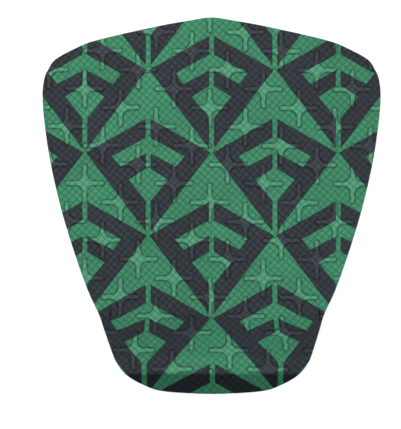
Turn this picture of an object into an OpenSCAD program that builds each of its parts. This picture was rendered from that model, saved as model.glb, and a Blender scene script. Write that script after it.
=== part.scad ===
// Stomp pad with a raised kick, built up from sheets of EVA foam.
// The origin is on the underside, in the middle of the pad's length and width.
// +Y runs towards the wide, arched end, and +Z is up, away from the board.

/* [Pad] */
// Width of the pad at its widest, in mm
pad_w = 240; // [215:1:265]
// Length of the pad, in mm
pad_l = 258; // [238:1:283]

/* [Layers] */
// Thickness of the adhesive sheet on the underside
adhesive_t = 0.3; // [0.2:0.1:0.6]
// How far the adhesive sheet stops short of the foam's edge
adhesive_inset = 0.8; // [0.4:0.1:3]
// Thickness of the base sheet of foam
base_t = 2.2; // [1.5:0.1:4]
// Thickness of the grip skin, which is the green web and its inlays
skin_t = 2.5; // [1.5:0.1:3.5]

/* [Kick] */
// Distance from the rear edge to the crest of the kick
crest_back = 21.6; // [18:0.1:25]
// Distance from the crest to where the ramp starts to rise
ramp_run = 35.8; // [32:0.1:40]
// Slope of the ramp, in degrees
ramp_angle = 46; // [36:1:52]
// Slope of the bevel behind the crest, in degrees
rear_angle = 8; // [4:1:14]
// Radius of the hollow at the foot of the ramp
foot_r = 17; // [12:1:22]
// Radius over the crest
crest_r = 5.5; // [4:0.5:7]
// Number of foam sheets that the kick is stacked from
kick_sheets = 3; // [2:1:5]

/* [Pattern] */
// Distance between the pattern's columns, as a share of the pad's width
column_share = 0.1865; // [0.18:0.0005:0.19]
// Height of one row of the pattern, as a share of the pad's length
row_share = 0.227; // [0.222:0.001:0.23]
// Width of the green stem that runs down each column
stem_w = 3.5; // [2.5:0.1:5]

/* [Hidden] */
half_w = pad_w / 2;
half_l = pad_l / 2;
base_top = adhesive_t + base_t;
top_z = base_top + skin_t;
over = 12;                  // how far cutting shapes run past the pad
spline_steps = 4;           // straight pieces between two points of the outline
arc_steps = 8;              // straight pieces along each bend of the kick
bent_steps = 8;             // pieces of each pattern edge that bends with the kick
tall = 60;                  // height of the shapes that cut straight down

foam_green = [0.25, 0.50, 0.37];
foam_charcoal = [0.20, 0.22, 0.25];
foam_base = [0.14, 0.15, 0.17];
film_white = [0.86, 0.86, 0.84];

// The right side of the outline from the front to the rear, as shares of half_w and half_l.
OUTLINE = [
    [0, 1], [0.127, 0.983], [0.319, 0.951], [0.669, 0.877], [0.802, 0.830], [0.921, 0.769],
    [0.962, 0.715], [0.986, 0.665], [0.997, 0.567], [0.983, 0.403], [0.942, 0.166],
    [0.862, -0.134], [0.733, -0.490], [0.639, -0.658], [0.540, -0.807], [0.475, -0.895],
    [0.364, -0.958], [0.255, -0.987], [0, -1]];
EDGE_START = 14;            // outline point where the green crescent on each side begins

// Catmull-Rom curve between b and c, with the neighbouring points a and d.
function spline(a, b, c, d, t) =
    0.5 * (2 * b + (c - a) * t + (2 * a - 5 * b + 4 * c - d) * t * t
        + (3 * b - a - 3 * c + d) * t * t * t);
function mirrored(p) = [-p[0], p[1]];
function outline_share(i) =
    i < 0 ? mirrored(OUTLINE[-i]) :
    i >= len(OUTLINE) ? mirrored(OUTLINE[2 * len(OUTLINE) - 2 - i]) : OUTLINE[i];
function outline_point(i, t) =
    let (p = spline(outline_share(i - 1), outline_share(i),
                    outline_share(i + 1), outline_share(i + 2), t))
    [p[0] * half_w, p[1] * half_l];
right_side = [for (i = [0:len(OUTLINE) - 2]) for (k = [0:spline_steps - 1])
    outline_point(i, k / spline_steps)];
outline = concat(right_side, [[0, -half_l]],
    [for (i = [len(right_side) - 1:-1:1]) mirrored(right_side[i])]);

// The outline moved inwards by d.
function inward(d) = [for (i = [0:len(outline) - 1])
    let (before = outline[(i + len(outline) - 1) % len(outline)],
         after = outline[(i + 1) % len(outline)],
         along = (after - before) / norm(after - before))
    outline[i] + d * [along[1], -along[0]]];

// Surface of the kick: hollow foot, straight ramp, rounded crest and rear bevel.
foot_y = -half_l + crest_back + ramp_run;
bends_run = (foot_r + crest_r) * sin(ramp_angle);
ramp_len = (ramp_run - bends_run) / cos(ramp_angle);
foot_arc = foot_r * ramp_angle * PI / 180;
crest_arc = crest_r * (ramp_angle + rear_angle) * PI / 180;
ramp_start = [foot_y - foot_r * sin(ramp_angle), top_z + foot_r * (1 - cos(ramp_angle))];
ramp_end = ramp_start + ramp_len * [-cos(ramp_angle), sin(ramp_angle)];
crest_end = ramp_end
    + crest_r * [-sin(ramp_angle) - sin(rear_angle), cos(rear_angle) - cos(ramp_angle)];
bevel_len = (crest_end[0] + half_l + over) / cos(rear_angle);

// Place [y, z] and slope at distance s along the surface from the foot of the ramp.
function on_foot(a) = [foot_y - foot_r * sin(a), top_z + foot_r * (1 - cos(a))];
function on_crest(a) =
    ramp_end + crest_r * [sin(a) - sin(ramp_angle), cos(a) - cos(ramp_angle)];
function surface_slope(s) =
    s <= 0 ? 0 :
    s < foot_arc ? s / foot_r * 180 / PI :
    s < foot_arc + ramp_len ? ramp_angle :
    s < foot_arc + ramp_len + crest_arc
        ? ramp_angle - (s - foot_arc - ramp_len) / crest_r * 180 / PI :
    -rear_angle;
function surface_place(s) =
    let (a = surface_slope(s))
    s <= 0 ? [foot_y - s, top_z] :
    s < foot_arc ? on_foot(a) :
    s < foot_arc + ramp_len ? ramp_start + (s - foot_arc) * [-cos(a), sin(a)] :
    s < foot_arc + ramp_len + crest_arc ? on_crest(a) :
    crest_end + (s - foot_arc - ramp_len - crest_arc) * [-cos(rear_angle), -sin(rear_angle)];
// The same place, sunk by depth below the surface.
function sunk(s, depth) = surface_place(s) - depth * [sin(surface_slope(s)), cos(surface_slope(s))];
surface_stops = concat(
    [for (k = [0:arc_steps]) foot_arc * k / arc_steps],
    [for (k = [0:arc_steps]) foot_arc + ramp_len + crest_arc * k / arc_steps],
    [foot_arc + ramp_len + crest_arc + bevel_len]);

// The stack of sheets under the skin, from the base sheet up to the crest.
crest_s = foot_arc + ramp_len + crest_r * ramp_angle * PI / 180;
kick_sheet_t = (sunk(crest_s, skin_t)[1] - base_top) / kick_sheets;

// Pattern: a point f along the flat sheet lands at this Y once the sheet is bent over the kick.
function bent_y(f) = surface_place(foot_y - f)[0];

// Pattern lattice. Motifs hang from nodes, and every other column is half a motif lower.
column_w = column_share * pad_w;
row_h = row_share * pad_l;
node_y = 0.2725 * half_l;   // place of row 3's nodes on the flat sheet
tip_w = 1.9;                // from the column's middle to the tips of each half
function motif_y(row) = node_y + (3 - row) * row_h;

// One half of a charcoal motif, from its front tip: side tip, rear tip, then back along
// the stem, round the green kite and the green chevron.
function half_motif() = let (stem = stem_w / 2) [
    [tip_w, -0.629 * row_h], [0.979 * column_w, -1.035 * row_h], [tip_w, -1.976 * row_h],
    [stem, -1.618 * row_h], [0.315 * column_w, -1.359 * row_h], [stem, -1.226 * row_h],
    [stem, -1.046 * row_h], [0.443 * column_w, -1.208 * row_h], [0.575 * column_w, -1.077 * row_h],
    [stem, -0.850 * row_h]];
// The same, but run on past the side of the pad from its side tip rearwards.
function outer_half_motif() = let (m = half_motif())
    concat([m[0], m[1], [half_w, m[1][1]], [half_w, m[2][1]]], [for (i = [2:len(m) - 1]) m[i]]);

// Every edge cut into equal steps, so that it can bend with the sheet.
function stepped(points, steps) = [for (i = [0:len(points) - 1]) for (k = [0:steps - 1])
    points[i] + (points[(i + 1) % len(points)] - points[i]) * k / steps];

// Motifs as [row, column, side]. Columns count from the pad's middle; side 1 is the right half.
MOTIFS = [
    for (row = [0:5])
    for (column = row % 2 == 0 ? [-3, -1, 1, 3] : [-2, 0, 2])
    for (side = [-1, 1])
    if (abs(column) < 3 ? !(row == 5 && column != 0) : row == 2 && side * column < 0)
    [row, column, side]];
// The outer halves on the kick, which reach the side of the pad.
function is_outer(m) = m[0] == 4 && m[1] == m[2];
function side_name(side) = side < 0 ? "left" : "right";

// The outer halves beside the foot of the kick are in two pieces, with a chevron's arm between.
function is_parted(m) = m[0] == 3 && m[1] * m[2] == 2;
// Inlays as [motif, part]. Part 1 lies in front of the chevron, -1 behind it, and 0 is all of a half.
INLAYS = [for (m = MOTIFS) for (part = is_parted(m) ? [1, -1] : [0]) [m, part]];
function part_name(part) = part > 0 ? "_front" : part < 0 ? "_rear" : "";
function inlay_name(i) = let (m = i[0])
    str("inlay_row", m[0] + 1, "_col", m[1] + 4, "_", side_name(m[2]), part_name(i[1]));

KICK_SHEETS = [1:kick_sheets];
function kick_name(i) = str("kick_sheet_", i);
function chip_name(side) = str("green_chip_", side_name(side));
function edge_name(side) = str("green_edge_", side_name(side));

// A profile drawn in Y and Z, extruded across the pad and trimmed to its outline.
module across(profile) {
    intersection() {
        rotate([90, 0, 90])
            linear_extrude(pad_w + 2 * over, center = true)
                polygon(profile);
        translate([0, 0, -1])
            linear_extrude(tall)
                polygon(outline);
    }
}

module skin() {
    across(concat(
        [[half_l + over, top_z]],
        [for (s = surface_stops) sunk(s, 0)],
        [for (i = [len(surface_stops) - 1:-1:0]) sunk(surface_stops[i], skin_t)],
        [[half_l + over, base_top]]));
}

// A flat outline on the sheet, bent with it and cut straight down through the skin.
module cutter(points) {
    translate([0, 0, -1])
        linear_extrude(tall)
            polygon([for (p = points) [p[0], bent_y(p[1])]]);
}

module motif_cutter(m) {
    steps = m[0] > 3 ? bent_steps : 1;
    cutter([for (p = stepped(is_outer(m) ? outer_half_motif() : half_motif(), steps))
        [m[1] * column_w + m[2] * p[0], motif_y(m[0]) + p[1]]]);
}

// A box round the tip of a chevron whose stem lies outside the pad.
module chip_cutter(side) {
    inner = side * 2.4 * column_w;
    outer = side * (half_w + over);
    front = motif_y(2) - 0.97 * row_h;
    rear = motif_y(2) - 1.3 * row_h;
    cutter([[inner, front], [outer, front], [outer, rear], [inner, rear]]);
}

// The narrow crescent of green between the outline and a straight cut, on each side of the kick.
module edge_cutter(side) {
    start = outline_point(EDGE_START, 0);
    end = outline_point(EDGE_START + 1, 1 / spline_steps);
    translate([0, 0, -1])
        linear_extrude(tall)
            polygon([for (p = [start, end, [half_w, end[1]], [half_w, start[1]]])
                [side * p[0], p[1]]]);
}

module adhesive_sheet() {
    color(film_white)
        linear_extrude(adhesive_t)
            polygon(inward(adhesive_inset));
}

module base_foam() {
    color(foam_base)
        translate([0, 0, adhesive_t])
            linear_extrude(base_t)
                polygon(outline);
}

module kick_sheet(i) {
    low = base_top + (i - 1) * kick_sheet_t;
    color(foam_base)
        intersection() {
            across(concat(
                [for (s = surface_stops) sunk(s, skin_t)],
                [[-half_l - over, base_top]]));
            translate([-half_w, -half_l - over, low])
                cube([pad_w, pad_l, kick_sheet_t]);
        }
}

module green_web() {
    color(foam_green)
        difference() {
            skin();
            for (m = MOTIFS) motif_cutter(m);
            for (side = [-1, 1]) chip_cutter(side);
        }
}

module green_chip(side) {
    color(foam_green)
        difference() {
            intersection() {
                skin();
                chip_cutter(side);
            }
            motif_cutter([2, side * 3, -side]);
        }
}

module green_edge(side) {
    color(foam_green)
        intersection() {
            skin();
            edge_cutter(side);
        }
}

// Everything behind a line across the motif's chevron (part 1), or in front of it (part -1).
module other_part(m, part) {
    line_y = motif_y(m[0]) - 1.02 * row_h;
    translate([-half_w, part > 0 ? line_y - pad_l : line_y, -1])
        cube([pad_w, pad_l, tall]);
}

module inlay(m, part) {
    color(foam_charcoal)
        difference() {
            intersection() {
                skin();
                motif_cutter(m);
            }
            if (is_outer(m)) edge_cutter(m[2]);
            if (part != 0) other_part(m, part);
        }
}

adhesive_sheet();
base_foam();
for (i = KICK_SHEETS)
    kick_sheet(i);
green_web();
for (side = [-1, 1])
    green_chip(side);
for (side = [-1, 1])
    green_edge(side);
for (i = INLAYS)
    inlay(i[0], i[1]);
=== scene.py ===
import math

import bmesh
import bpy
import numpy as np
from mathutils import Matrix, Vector


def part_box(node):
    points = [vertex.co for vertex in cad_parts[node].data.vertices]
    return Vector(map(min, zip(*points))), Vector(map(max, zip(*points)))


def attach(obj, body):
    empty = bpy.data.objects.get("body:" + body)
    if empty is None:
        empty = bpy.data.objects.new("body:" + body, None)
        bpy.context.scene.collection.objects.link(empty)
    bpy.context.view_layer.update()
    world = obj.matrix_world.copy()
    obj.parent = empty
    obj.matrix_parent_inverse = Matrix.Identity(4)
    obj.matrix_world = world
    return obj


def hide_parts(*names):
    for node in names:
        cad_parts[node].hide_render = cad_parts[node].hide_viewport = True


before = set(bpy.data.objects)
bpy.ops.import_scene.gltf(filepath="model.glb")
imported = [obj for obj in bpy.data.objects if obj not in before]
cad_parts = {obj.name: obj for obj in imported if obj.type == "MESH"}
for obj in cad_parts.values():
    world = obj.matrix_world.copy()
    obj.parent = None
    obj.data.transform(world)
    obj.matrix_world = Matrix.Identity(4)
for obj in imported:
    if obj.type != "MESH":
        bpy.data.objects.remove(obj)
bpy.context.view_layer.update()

MM = 0.001

# ---- The foam sheet, as part.scad has it -------------------------------------------------
RAMP_ANGLE = math.radians(46)
REAR_ANGLE = math.radians(8)
FOOT_R = 17 * MM
CREST_R = 5.5 * MM
CREST_BACK = 21.6 * MM
RAMP_RUN = 35.8 * MM

flat_low, flat_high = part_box("green_chip_left")
pad_low, pad_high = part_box("base_foam")
TOP_Z = flat_high.z
SKIN_T = flat_high.z - flat_low.z
FOOT_Y = pad_low.y + CREST_BACK + RAMP_RUN

ramp_len = (RAMP_RUN - (FOOT_R + CREST_R) * math.sin(RAMP_ANGLE)) / math.cos(RAMP_ANGLE)
foot_arc = FOOT_R * RAMP_ANGLE
crest_arc = CREST_R * (RAMP_ANGLE + REAR_ANGLE)
ramp_s = foot_arc
crest_s = foot_arc + ramp_len
bevel_s = crest_s + crest_arc
ramp_y = FOOT_Y - FOOT_R * math.sin(RAMP_ANGLE)
ramp_z = TOP_Z + FOOT_R * (1 - math.cos(RAMP_ANGLE))
crest_y = ramp_y - ramp_len * math.cos(RAMP_ANGLE)
crest_z = ramp_z + ramp_len * math.sin(RAMP_ANGLE)
bevel_y = crest_y - CREST_R * (math.sin(RAMP_ANGLE) + math.sin(REAR_ANGLE))
bevel_z = crest_z + CREST_R * (math.cos(REAR_ANGLE) - math.cos(RAMP_ANGLE))


def slope_at(s):
    """Slope of the grip surface at distance s from the foot of the ramp, along the foam."""
    s = np.asarray(s, float)
    return np.select(
        [s <= 0, s < ramp_s, s < crest_s, s < bevel_s],
        [0 * s, s / FOOT_R, 0 * s + RAMP_ANGLE, RAMP_ANGLE - (s - crest_s) / CREST_R],
        -REAR_ANGLE)


def place_at(s):
    """Y and Z of the grip surface at distance s from the foot of the ramp."""
    s = np.asarray(s, float)
    a = slope_at(s)
    stretches = [s <= 0, s < ramp_s, s < crest_s, s < bevel_s]
    y = np.select(
        stretches,
        [FOOT_Y - s,
         FOOT_Y - FOOT_R * np.sin(a),
         ramp_y - (s - ramp_s) * math.cos(RAMP_ANGLE),
         crest_y - CREST_R * (math.sin(RAMP_ANGLE) - np.sin(a))],
        bevel_y - (s - bevel_s) * math.cos(REAR_ANGLE))
    z = np.select(
        stretches,
        [0 * s + TOP_Z,
         TOP_Z + FOOT_R * (1 - np.cos(a)),
         ramp_z + (s - ramp_s) * math.sin(RAMP_ANGLE),
         crest_z + CREST_R * (np.cos(a) - math.cos(RAMP_ANGLE))],
        bevel_z - (s - bevel_s) * math.sin(REAR_ANGLE))
    return y, z


def s_of_y(y):
    """Distance along the foam of the surface point that lies at Y."""
    y = np.asarray(y, float)
    foot_sin = np.clip((FOOT_Y - y) / FOOT_R, -1, 1)
    crest_sin = np.clip(math.sin(RAMP_ANGLE) - (crest_y - y) / CREST_R, -1, 1)
    return np.select(
        [y >= FOOT_Y, y > ramp_y, y > crest_y, y > bevel_y],
        [FOOT_Y - y,
         FOOT_R * np.arcsin(foot_sin),
         ramp_s + (ramp_y - y) / math.cos(RAMP_ANGLE),
         crest_s + CREST_R * (RAMP_ANGLE - np.arcsin(crest_sin))],
        bevel_s + (bevel_y - y) / math.cos(REAR_ANGLE))


# ---- Relief of the grip surface ----------------------------------------------------------
# Two families of grooves that cross: grooves per metre in u and in v, and where the first one lies.
GROOVE_A = (197.2, -178.9, -0.189)
GROOVE_B = (175.1, 200.2, -0.373)
GROOVE_HALF = 0.09           # half width of a groove, as a share of the pitch
GROOVE_DEPTH = 0.3 * MM
CROSS_ORIGIN = (-89.5 * MM, 78.4 * MM)
CROSS_STEP_A = (25.2 * MM, -13.44 * MM)
CROSS_STEP_B = (-12.61 * MM, -26.69 * MM)
ARM_LEN = 13.4 * MM
ARM_HALF = 1.35 * MM
ARM_FILLET = 5.3 * MM
RIB_H = 0.6 * MM
RIB_SHOULDER = 1.0 * MM
SWELL_H = 0.12 * MM
REAR_START = 52.5 * MM       # from the foot of the ramp to the smooth dark band at the rear
REAR_FADE = 2.5 * MM


def groove_depth(u, v):
    """0 on the diamonds and 1 at the bottom of the crosshatch grooves."""
    a, b = (u * in_u + v * in_v + start for in_u, in_v, start in (GROOVE_A, GROOVE_B))
    d = np.minimum(np.abs(a - np.round(a)), np.abs(b - np.round(b)))
    return np.clip(1 - d / GROOVE_HALF, 0, 1)


def cross_distance(u, v):
    """Signed distance to the edge of the nearest raised cross, negative inside it."""
    ax, ay = CROSS_STEP_A
    bx, by = CROSS_STEP_B
    det = ax * by - ay * bx
    du = u - CROSS_ORIGIN[0]
    dv = v - CROSS_ORIGIN[1]
    i0 = np.round((du * by - dv * bx) / det)
    j0 = np.round((ax * dv - ay * du) / det)
    best = np.full(np.shape(u), 1.0)
    for i in (-1, 0, 1):
        for j in (-1, 0, 1):
            px = np.abs(du - (i0 + i) * ax - (j0 + j) * bx)
            py = np.abs(dv - (i0 + i) * ay - (j0 + j) * by)
            far = np.maximum(px, py)
            near = np.minimum(px, py)
            corner = ARM_HALF + ARM_FILLET
            star = ARM_FILLET - np.hypot(px - corner, py - corner)
            arm = np.hypot(np.maximum(far - ARM_LEN + ARM_HALF, 0), near) - ARM_HALF
            best = np.minimum(best, np.where(far < corner, np.minimum(star, arm), arm))
    return best


def smooth(t):
    """0 below 0, 1 above 1, and a smooth rise between them."""
    t = np.clip(t, 0, 1)
    return t * t * (3 - 2 * t)


def rear_face(v):
    """0 on the embossed foam and 1 on the band along the rear edge."""
    return smooth((FOOT_Y - v - REAR_START) / REAR_FADE)


def rib_rise(u, v):
    """0 off the raised crosses and 1 on top of them. The band along the rear edge has none."""
    return smooth(0.5 - cross_distance(u, v) / RIB_SHOULDER) * (1 - rear_face(v))


def relief(u, v):
    """Height of the foam above its plain surface at u across and v along the flat sheet."""
    swell = (np.sin(u * 61 + 1.3) * np.sin(v * 47 + 0.4) + 0.6 * np.sin(u * 113 - v * 89)) / 1.6
    return RIB_H * rib_rise(u, v) - GROOVE_DEPTH * groove_depth(u, v) + SWELL_H * swell


# ---- Meshes --------------------------------------------------------------------------------
def new_object(name, mesh):
    piece = bpy.data.objects.new(name, mesh)
    bpy.context.scene.collection.objects.link(piece)
    return piece


def mesh_from(name, points, faces):
    mesh = bpy.data.meshes.new(name)
    mesh.from_pydata(np.asarray(points).tolist(), [], np.asarray(faces).tolist())
    mesh.update()
    return mesh


def grid_stops(low, high, shares):
    """Every stop between low and high, at the given shares of each whole step."""
    whole = np.arange(math.floor(low), math.ceil(high) + 1)
    return (whole[:, None] + np.asarray(shares)[None, :]).ravel()


GRID_STOPS = (0, GROOVE_HALF, 0.3, 0.5, 0.7, 1 - GROOVE_HALF)
SLAB_SINK = 1.0 * MM         # how far the slab reaches below the underside of the skin
PATCH_MARGIN = 2.5 * MM      # how far it reaches past the piece on each side


def textured_slab(name, u_low, u_high, v_low, v_high):
    """A closed slab of foam over a rectangle of the flat sheet, with the relief on top."""
    u_low, v_low = u_low - PATCH_MARGIN, v_low - PATCH_MARGIN
    u_high, v_high = u_high + PATCH_MARGIN, v_high + PATCH_MARGIN
    us = np.array([u_low, u_high, u_low, u_high])
    vs = np.array([v_low, v_low, v_high, v_high])
    stops = []
    for in_u, in_v, start in (GROOVE_A, GROOVE_B):
        count = us * in_u + vs * in_v + start
        stops.append(grid_stops(count.min(), count.max(), GRID_STOPS) - start)
    aa, bb = np.meshgrid(*stops, indexing="ij")
    (a_u, a_v, _), (b_u, b_v, _) = GROOVE_A, GROOVE_B
    det = a_u * b_v - a_v * b_u
    u = (aa * b_v - bb * a_v) / det
    v = (bb * a_u - aa * b_u) / det
    mid_u = (u[:-1, :-1] + u[1:, 1:]) / 2
    mid_v = (v[:-1, :-1] + v[1:, 1:]) / 2
    kept = (mid_u > u_low) & (mid_u < u_high) & (mid_v > v_low) & (mid_v < v_high)
    index = np.arange(u.size).reshape(u.shape)
    quads = np.stack([index[:-1, :-1], index[1:, :-1], index[1:, 1:], index[:-1, 1:]], -1)[kept]
    used, quads = np.unique(quads, return_inverse=True)
    quads = quads.reshape(-1, 4)
    u, v = u.ravel()[used], v.ravel()[used]
    s = FOOT_Y - v
    y, z = place_at(s)
    slope = slope_at(s)
    rise = relief(u, v)
    deep = -(SKIN_T + SLAB_SINK)
    top = np.stack([u, y + rise * np.sin(slope), z + rise * np.cos(slope)], 1)
    under = np.stack([u, y + deep * np.sin(slope), z + deep * np.cos(slope)], 1)
    count = len(u)
    edges = np.concatenate([quads[:, [k, (k + 1) % 4]] for k in range(4)])
    keys = np.sort(edges, 1)
    _, first, times = np.unique(keys, axis=0, return_index=True, return_counts=True)
    rim = edges[first[times == 1]]
    walls = np.stack([rim[:, 1], rim[:, 0], rim[:, 0] + count, rim[:, 1] + count], 1)
    faces = np.concatenate([quads, quads[:, ::-1] + count, walls])
    return new_object(name, mesh_from(name, np.concatenate([top, under]), faces))


def welded_copy(node):
    """A bmesh of a CAD node with its split corners joined again."""
    bm = bmesh.new()
    bm.from_mesh(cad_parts[node].data)
    bmesh.ops.remove_doubles(bm, verts=bm.verts, dist=1e-6)
    bmesh.ops.recalc_face_normals(bm, faces=bm.faces)
    return bm


JOINT_GAP = 0.09 * MM        # how far each wall of a piece is drawn in
ROOF_RISE = 2.0 * MM
ROOF_BAND = 1 * MM           # corners no deeper than this below the surface belong to the roof
UPRIGHT = 0.02               # largest upward part of an upright wall's normal
SAME_WAY = 0.05              # normals nearer than this count as one
LONGEST_SHIFT = 5 * JOINT_GAP


def wall_shift(vert):
    """Move in plan that takes a corner in from each of the upright walls that meet there."""
    normals = []
    for face in vert.link_faces:
        n = face.normal
        if abs(n.z) < UPRIGHT and not any((n - m).length < SAME_WAY for m in normals):
            normals.append(n.copy())
    if not normals:
        return Vector((0, 0, 0))
    rows = np.array([[n.x, n.y] for n in normals])
    shift = np.linalg.lstsq(rows, np.full(len(rows), -JOINT_GAP), rcond=None)[0]
    if np.hypot(*shift) >= LONGEST_SHIFT:
        return Vector((0, 0, 0))
    return Vector((shift[0], shift[1], 0))


def cutting_prism(node):
    """The node's own solid, drawn in a little at its walls, with its roof raised over the relief."""
    bm = welded_copy(node)
    shifts = [wall_shift(v) for v in bm.verts]
    for v, shift in zip(bm.verts, shifts):
        surface_z = float(place_at(s_of_y(v.co.y))[1])
        if v.co.z > surface_z - ROOF_BAND:
            v.co.z += ROOF_RISE
        v.co += shift
    mesh = bpy.data.meshes.new(node + "_prism")
    bm.to_mesh(mesh)
    bm.free()
    return new_object(node + "_prism", mesh)


def outline_loop(step):
    """The pad's outline in plan, counter-clockwise, with a point about every step."""
    bm = welded_copy("base_foam")
    pts = np.array([[v.co.x, v.co.y] for v in bm.verts if v.co.z < pad_low.z + 0.1 * MM])
    bm.free()
    pts = pts[np.argsort(np.arctan2(pts[:, 1], pts[:, 0]))]
    closed = np.concatenate([pts, pts[:1]])
    run = np.concatenate([[0], np.cumsum(np.hypot(*np.diff(closed, axis=0).T))])
    stops = np.linspace(0, run[-1], int(run[-1] / step), endpoint=False)
    return np.stack([np.interp(stops, run, closed[:, 0]), np.interp(stops, run, closed[:, 1])], 1)


OUTLINE_STEP = 1.0 * MM
SHOULDER_BOTTOM = -5 * MM
# Section of the rounded edge in mm: how far in from the outline, and how far over the surface.
SHOULDER = [(0.0, -0.75), (0.08, -0.45), (0.3, -0.12), (0.8, 0.15), (1.8, 0.55), (3.2, 2.0)]


def shoulder_solid():
    """The whole pad's outline as a solid whose upper edge is rounded over."""
    loop = outline_loop(OUTLINE_STEP)
    along = np.roll(loop, -1, 0) - np.roll(loop, 1, 0)
    along /= np.hypot(*along.T)[:, None]
    inward = np.stack([-along[:, 1], along[:, 0]], 1)
    count = len(loop)
    rings = [np.column_stack([loop, np.full(count, SHOULDER_BOTTOM)])]
    for inset, over in SHOULDER:
        at = loop + inward * inset * MM
        s = s_of_y(at[:, 1])
        z = place_at(s)[1] + over * MM / np.cos(slope_at(s))
        rings.append(np.column_stack([at, z]))
    rings.append(np.column_stack([at, np.full(count, 2 * crest_z)]))
    around = np.arange(count)
    after = (around + 1) % count
    faces = []
    for k in range(len(rings) - 1):
        low, high = k * count, (k + 1) * count
        faces += np.stack([around + low, after + low, after + high, around + high], 1).tolist()
    faces.append(around[::-1].tolist())
    faces.append((around + (len(rings) - 1) * count).tolist())
    mesh = bpy.data.meshes.new("shoulder")
    bm = bmesh.new()
    verts = [bm.verts.new(p) for p in np.concatenate(rings)]
    for f in faces:
        bm.faces.new([verts[i] for i in f])
    bmesh.ops.triangulate(bm, faces=[f for f in bm.faces if len(f.verts) > 4])
    bmesh.ops.recalc_face_normals(bm, faces=bm.faces)
    bm.to_mesh(mesh)
    bm.free()
    return new_object("shoulder", mesh)


def intersect(piece, *others):
    """piece, kept only where it is also inside each of the others."""
    for other in others:
        cut = piece.modifiers.new("cut", "BOOLEAN")
        cut.operation = "INTERSECT"
        cut.solver = "MANIFOLD"
        cut.object = other
    bpy.context.view_layer.update()
    graph = bpy.context.evaluated_depsgraph_get()
    mesh = bpy.data.meshes.new_from_object(piece.evaluated_get(graph))
    piece.modifiers.clear()
    piece.data = mesh
    return piece


def drop(*objects):
    for item in objects:
        bpy.data.objects.remove(item)


WALL_BELOW = 1.2 * MM        # points deeper than this below the surface are on a cut wall
CREASE = math.radians(50)    # edges sharper than this stay sharp in the shading


def mark_sheet(mesh):
    """Stores each point's place on the flat sheet, and 1 where it is on a cut wall."""
    co = np.empty(len(mesh.vertices) * 3, np.float32)
    mesh.vertices.foreach_get("co", co)
    co = co.reshape(-1, 3).astype(float)
    s = s_of_y(co[:, 1])
    for _ in range(3):
        rise = relief(co[:, 0], FOOT_Y - s)
        s = s_of_y(co[:, 1] - rise * np.sin(slope_at(s)))
    below = place_at(s)[1] - co[:, 2]
    sheet = np.column_stack([co[:, 0], FOOT_Y - s, 0 * s]).astype(np.float32)
    mesh.attributes.new("sheet", "FLOAT_VECTOR", "POINT").data.foreach_set("vector", sheet.ravel())
    wall = np.where(below < WALL_BELOW, 0, 1).astype(np.float32)
    mesh.attributes.new("wall", "FLOAT", "POINT").data.foreach_set("value", wall)


def skin_piece(node, material):
    """A grip-skin piece: the CAD outline and underside with the embossed foam surface on top."""
    prism = cutting_prism(node)
    low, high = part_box(node)
    v_high = FOOT_Y - float(s_of_y(high.y))
    v_low = FOOT_Y - float(s_of_y(low.y))
    slab = textured_slab(node + "_slab", low.x, high.x, v_low, v_high)
    intersect(prism, shoulder)
    piece = intersect(slab, prism)
    drop(prism)
    piece.name = node + "_foam"
    mark_sheet(piece.data)
    piece.data.shade_smooth()
    piece.data.set_sharp_from_angle(angle=CREASE)
    piece.data.materials.clear()
    piece.data.materials.append(material)
    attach(piece, "root")
    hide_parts(node)
    return piece


# ---- Materials -----------------------------------------------------------------------------
RIB_EDGE = 0.35              # half width of the sloping edge of a cross, in mm
# The dark line round each cross is painted shade where the raised rib meets the foam.
RIB_SHADE_AT = 0.55               # painted shade line round the foot of each cross: its distance from the edge, in mm
RIB_SHADE_HALF = 0.85             # its half width, in mm
RIB_SHADE_DARK = 0.7
GROOVE_BUMP = 0.6            # depth of a groove in the bump, as a share of a rib's height
SKIN_GLOSS = 0.2
PINCH_MIDDLE = 2.3 * MM      # the two short creases: the middle between them in u,
PINCH_APART = 73.3 * MM      # how far each lies from it,
PINCH_V = -80.6 * MM         # and their middle and half length in v
PINCH_HALF = 5.0 * MM


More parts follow.
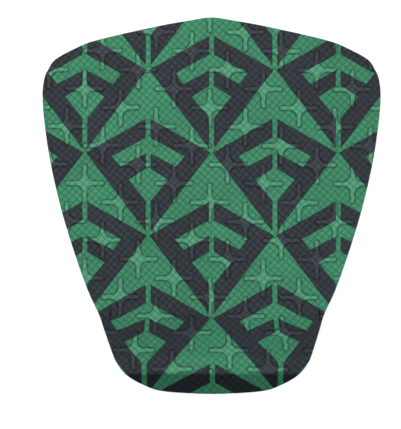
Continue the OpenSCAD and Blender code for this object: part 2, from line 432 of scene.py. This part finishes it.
class Nodes:
    """Short calls for wiring one material's nodes."""

    def __init__(self, name):
        self.material = bpy.data.materials.new(name)
        self.material.use_nodes = True
        self.tree = self.material.node_tree
        self.shader = self.tree.nodes["Principled BSDF"]
        self.place = self.add("ShaderNodeTexCoord").outputs["Object"]

    def add(self, kind, **settings):
        node = self.tree.nodes.new(kind)
        for key, value in settings.items():
            setattr(node, key, value)
        return node

    def link(self, source, target):
        self.tree.links.new(source, target)

    def noise(self, scale, detail=2.0, stretch=None):
        """A noise value; scale is per metre, and stretch multiplies it along each axis."""
        node = self.add("ShaderNodeTexNoise")
        node.inputs["Scale"].default_value = scale
        node.inputs["Detail"].default_value = detail
        place = self.place
        if stretch:
            mapping = self.add("ShaderNodeMapping")
            mapping.inputs["Scale"].default_value = stretch
            self.link(place, mapping.inputs["Vector"])
            place = mapping.outputs["Vector"]
        self.link(place, node.inputs["Vector"])
        return node.outputs["Fac"]

    def cells(self, scale):
        """Distance to the nearest foam cell's middle; scale is cells per metre."""
        node = self.add("ShaderNodeTexVoronoi")
        node.inputs["Scale"].default_value = scale
        self.link(self.place, node.inputs["Vector"])
        return node.outputs["Distance"]

    def split(self, name):
        """The first two parts of a vector that the mesh carries for each point."""
        node = self.add("ShaderNodeSeparateXYZ")
        self.link(self.add("ShaderNodeAttribute", attribute_name=name).outputs["Vector"],
                  node.inputs[0])
        return node.outputs[0], node.outputs[1]

    def stored(self, name):
        """A value that the mesh carries for each point."""
        return self.add("ShaderNodeAttribute", attribute_name=name).outputs["Fac"]

    def spread(self, value, low, high):
        """value, from 0.3 to 0.7, spread over low to high."""
        node = self.add("ShaderNodeMapRange")
        node.inputs["From Min"].default_value = 0.3
        node.inputs["From Max"].default_value = 0.7
        node.inputs["To Min"].default_value = low
        node.inputs["To Max"].default_value = high
        self.link(value, node.inputs["Value"])
        return node.outputs["Result"]

    def calc(self, operation, *values, clamp=False):
        """One math node; each value is a number or a socket."""
        node = self.add("ShaderNodeMath", operation=operation, use_clamp=clamp)
        for socket, value in zip(node.inputs, values):
            if isinstance(value, bpy.types.NodeSocket):
                self.link(value, socket)
            else:
                socket.default_value = value
        return node.outputs[0]

    def plus(self, a, b):
        return self.calc("ADD", a, b)

    def minus(self, a, b):
        return self.calc("SUBTRACT", a, b)

    def times(self, a, b):
        return self.calc("MULTIPLY", a, b)

    def ramp(self, value, zero_at, one_at):
        """0 where value is at zero_at and 1 where it is at one_at, with a smooth change between."""
        node = self.add("ShaderNodeMapRange", interpolation_type="SMOOTHSTEP")
        node.inputs["From Min"].default_value = zero_at
        node.inputs["From Max"].default_value = one_at
        self.link(value, node.inputs["Value"])
        return node.outputs["Result"]

    def length(self, x, y):
        return self.calc("SQRT", self.plus(self.times(x, x), self.times(y, y)))

    def mix(self, amount, first, second):
        """first where amount is 0, second where it is 1; a colour is a tuple or a socket."""
        node = self.add("ShaderNodeMix", data_type="RGBA", clamp_factor=True)
        self.link(amount, node.inputs["Factor"])
        for socket, colour in ((node.inputs[6], first), (node.inputs[7], second)):
            if isinstance(colour, tuple):
                socket.default_value = (*colour, 1)
            else:
                self.link(colour, socket)
        return node.outputs[2]

    def bump(self, height, distance, under=None):
        node = self.add("ShaderNodeBump")
        node.inputs["Strength"].default_value = 1.0
        node.inputs["Distance"].default_value = distance
        self.link(height, node.inputs["Height"])
        if under is not None:
            self.link(under, node.inputs["Normal"])
        return node.outputs["Normal"]


def shade(colour, factor):
    return tuple(c * factor for c in colour)


def groove_mask(n, u, v):
    """Nodes for groove_depth."""
    gaps = [n.calc("PINGPONG", n.plus(n.plus(n.times(u, in_u), n.times(v, in_v)), start), 0.5)
            for in_u, in_v, start in (GROOVE_A, GROOVE_B)]
    return n.ramp(n.calc("MINIMUM", *gaps), GROOVE_HALF, 0)


def cross_gap(n, u, v):
    """Nodes for cross_distance, in millimetres."""
    (ax, ay), (bx, by) = CROSS_STEP_A, CROSS_STEP_B
    det = ax * by - ay * bx
    du = n.minus(u, CROSS_ORIGIN[0])
    dv = n.minus(v, CROSS_ORIGIN[1])
    i = n.calc("ROUND", n.minus(n.times(du, by / det), n.times(dv, bx / det)))
    j = n.calc("ROUND", n.minus(n.times(dv, ax / det), n.times(du, ay / det)))
    px = n.minus(n.minus(du, n.times(i, ax)), n.times(j, bx))
    py = n.minus(n.minus(dv, n.times(i, ay)), n.times(j, by))
    px, py = (n.times(n.calc("ABSOLUTE", p), 1 / MM) for p in (px, py))
    far = n.calc("MAXIMUM", px, py)
    near = n.calc("MINIMUM", px, py)
    corner = (ARM_HALF + ARM_FILLET) / MM
    star = n.minus(ARM_FILLET / MM, n.length(n.minus(far, corner), n.minus(near, corner)))
    star = n.calc("MAXIMUM", star, n.minus(far, corner))
    past = n.calc("MAXIMUM", n.minus(far, (ARM_LEN - ARM_HALF) / MM), 0)
    arm = n.minus(n.length(past, near), ARM_HALF / MM)
    return n.calc("MINIMUM", star, arm)


def pinch_mask(n, u, v):
    """Nodes for the two short creases at the foot of the kick, near its sides."""
    apart = n.calc("ABSOLUTE", n.minus(n.calc("ABSOLUTE", n.minus(u, PINCH_MIDDLE)), PINCH_APART))
    ends = n.calc("ABSOLUTE", n.minus(v, PINCH_V))
    return n.times(n.ramp(apart, 0.8 * MM, 0.2 * MM), n.ramp(ends, PINCH_HALF, 0.6 * PINCH_HALF))


def foam_skin(name, colour, rib_highlight_colour, groove_shade, rear_share):
    """Embossed EVA foam: a painted highlight on the ribs, painted shade round their foot, in the
    grooves and in the two creases, and darker at the rear.
    """
    n = Nodes(name)
    u, v = n.split("sheet")
    groove = groove_mask(n, u, v)
    gap = cross_gap(n, u, v)
    rear = n.ramp(v, FOOT_Y - REAR_START, FOOT_Y - REAR_START - REAR_FADE)
    face = n.minus(1, rear)
    rib = n.times(n.ramp(gap, RIB_EDGE, -RIB_EDGE), face)
    rib_shade = n.times(n.ramp(n.calc("ABSOLUTE", n.minus(gap, RIB_SHADE_AT)), RIB_SHADE_HALF, 0), face)
    pinch = pinch_mask(n, u, v)
    blotch = n.spread(n.noise(30, 3), 0, 1)
    grain = n.spread(n.noise(900, 4), 0, 1)
    body = n.mix(blotch, shade(colour, 0.84), shade(colour, 1.12))
    body = n.mix(n.times(grain, 0.6), body, shade(colour, 0.70))
    # The ribs' lighter colour is a painted highlight: light falling on the raised crosses.
    body = n.mix(n.times(rib, 0.7), body, rib_highlight_colour)
    # Painted shade: a dark line round the foot of each raised cross.
    body = n.mix(n.times(rib_shade, RIB_SHADE_DARK), body, shade(colour, 0.3))
    # Painted shade in the crosshatch grooves.
    body = n.mix(n.times(groove, groove_shade), body, shade(colour, 0.3))
    # Painted shade in the two short creases; the creases themselves are in the bump below.
    body = n.mix(n.times(pinch, 0.8), body, shade(colour, 0.2))
    body = n.mix(n.times(rear, 1 - rear_share), body, (0.0, 0.0, 0.0))
    body = n.mix(n.times(n.stored("wall"), 0.8), body, shade(colour, 0.8))
    n.link(body, n.shader.inputs["Base Color"])
    n.link(n.spread(n.noise(300, 3), 0.58, 0.74), n.shader.inputs["Roughness"])
    gloss = n.times(n.minus(1, n.times(rear, 0.8)), SKIN_GLOSS)
    n.link(gloss, n.shader.inputs["Specular IOR Level"])
    skin = n.bump(n.noise(2600, 3), 0.00012)
    skin = n.bump(n.cells(1800), 0.00006, skin)
    relief_height = n.minus(n.minus(rib, n.times(groove, GROOVE_BUMP)), n.times(pinch, 2))
    skin = n.bump(relief_height, 0.35 * MM, skin)
    n.link(skin, n.shader.inputs["Normal"])
    return n.material


def foam_block(name, colour):
    """Plain cut EVA foam: closed cells, and faint knife marks round the edge."""
    n = Nodes(name)
    blotch = n.spread(n.noise(35, 3), 0, 1)
    cells = n.cells(1500)
    body = n.mix(blotch, shade(colour, 0.85), shade(colour, 1.2))
    body = n.mix(n.times(cells, 0.6), body, shade(colour, 1.7))
    n.link(body, n.shader.inputs["Base Color"])
    n.link(n.spread(n.noise(400, 3), 0.75, 0.95), n.shader.inputs["Roughness"])
    n.shader.inputs["Specular IOR Level"].default_value = 0.2
    marks = n.bump(n.noise(120, 3, (1, 1, 40)), 0.00015)
    n.link(n.bump(cells, 0.00012, marks), n.shader.inputs["Normal"])
    return n.material


def adhesive_film(name, colour):
    """Matte transfer film over adhesive, with faint crossed fibres and trapped air."""
    n = Nodes(name)
    cloud = n.spread(n.noise(60, 4), 0, 1)
    fibre = n.noise(500, 2, (1, 0.08, 1))
    body = n.mix(cloud, shade(colour, 0.88), colour)
    body = n.mix(n.times(n.spread(fibre, 0, 1), 0.35), body, shade(colour, 0.7))
    n.link(body, n.shader.inputs["Base Color"])
    n.link(n.spread(n.noise(150, 3), 0.3, 0.5), n.shader.inputs["Roughness"])
    ripple = n.bump(n.noise(90, 2), 0.0002)
    n.link(n.bump(fibre, 0.00003, ripple), n.shader.inputs["Normal"])
    return n.material


def pale_floor(name, colour):
    n = Nodes(name)
    body = n.mix(n.spread(n.noise(3, 2), 0, 1), shade(colour, 0.985), colour)
    n.link(body, n.shader.inputs["Base Color"])
    n.shader.inputs["Roughness"].default_value = 0.7
    n.shader.inputs["Specular IOR Level"].default_value = 0.2
    return n.material


# Each foam's second colour is the painted highlight on its ribs, and the first number after it is
# the painted shade in its grooves.
green = foam_skin("green_foam", (0.040, 0.215, 0.112), (0.080, 0.290, 0.170), 0.55, 0.55)
charcoal = foam_skin("charcoal_foam", (0.022, 0.028, 0.036), (0.038, 0.046, 0.056), 0.35, 0.38)
base_foam = foam_block("base_foam", (0.024, 0.026, 0.031))
film = adhesive_film("adhesive_film", (0.72, 0.72, 0.68))


# ---- The pieces ------------------------------------------------------------------------------
def soft_edged_piece(node, edge_r, material):
    """A layer under the skin: the CAD solid with its edges rounded over a little."""
    bm = welded_copy(node)
    bmesh.ops.dissolve_limit(bm, angle_limit=math.radians(0.2), verts=bm.verts, edges=bm.edges)
    sharp = [e for e in bm.edges if e.is_manifold and e.calc_face_angle() > math.radians(20)]
    bmesh.ops.bevel(bm, geom=sharp, offset=edge_r, segments=3, profile=0.5, affect="EDGES",
                    clamp_overlap=True)
    mesh = bpy.data.meshes.new(node + "_layer")
    bm.to_mesh(mesh)
    bm.free()
    piece = new_object(node + "_layer", mesh)
    mesh.shade_smooth()
    mesh.set_sharp_from_angle(angle=CREASE)
    mesh.materials.append(material)
    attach(piece, "root")
    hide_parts(node)
    return piece


shoulder = shoulder_solid()
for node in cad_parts:
    if node.startswith("green"):
        skin_piece(node, green)
    elif node.startswith("inlay"):
        skin_piece(node, charcoal)
    elif node.startswith("adhesive"):
        soft_edged_piece(node, 0.08 * MM, film)
    else:
        soft_edged_piece(node, 0.3 * MM, base_foam)
drop(shoulder)

# ---- Camera, lights and floor ----------------------------------------------------------
CAMERA_AT = (-7.8 * MM, -10.5 * MM)
CAMERA_OVER = 362 * MM       # height of the camera above the grip surface
VIEW_SPAN = 302.874 * MM     # long side of the view on the grip surface
SENSOR = 36                  # the camera's sensor, in mm
FLOOR_HALF = 2
FLOOR_DROP = 0.0002
SKY = 0.38
TOP_POWER = 19.7
KEY_POWER = 1.2
camera_data = bpy.data.cameras.new("camera")
camera = bpy.data.objects.new("camera", camera_data)
bpy.context.scene.collection.objects.link(camera)
camera.location = (*CAMERA_AT, TOP_Z + CAMERA_OVER)
camera_data.lens = SENSOR * CAMERA_OVER / VIEW_SPAN
bpy.context.scene.camera = camera

corners = [(x * FLOOR_HALF, y * FLOOR_HALF, 0) for x, y in ((-1, -1), (1, -1), (1, 1), (-1, 1))]
floor = new_object("floor", mesh_from("floor", corners, [(0, 1, 2, 3)]))
floor.location.z = -FLOOR_DROP
floor.data.materials.append(pale_floor("floor", (0.92, 0.92, 0.92)))

world = bpy.data.worlds.new("world")
bpy.context.scene.world = world
world.use_nodes = True
sky = world.node_tree.nodes["Background"]
sky.inputs["Color"].default_value = (1, 1, 1, 1)
sky.inputs["Strength"].default_value = SKY


def soft_lamp(name, place, size, power):
    """A square lamp at place that faces the pad."""
    data = bpy.data.lights.new(name, "AREA")
    data.energy = power
    data.size = size
    lamp = bpy.data.objects.new(name, data)
    bpy.context.scene.collection.objects.link(lamp)
    lamp.location = place
    lamp.rotation_euler = (-Vector(place)).to_track_quat("-Z", "Y").to_euler()
    return lamp


soft_lamp("top", (0, 0, 1.5), 0.8, TOP_POWER)
soft_lamp("key", (-0.15, 0.45, 0.5), 0.15, KEY_POWER)
bpy.context.scene.view_settings.view_transform = "Standard"
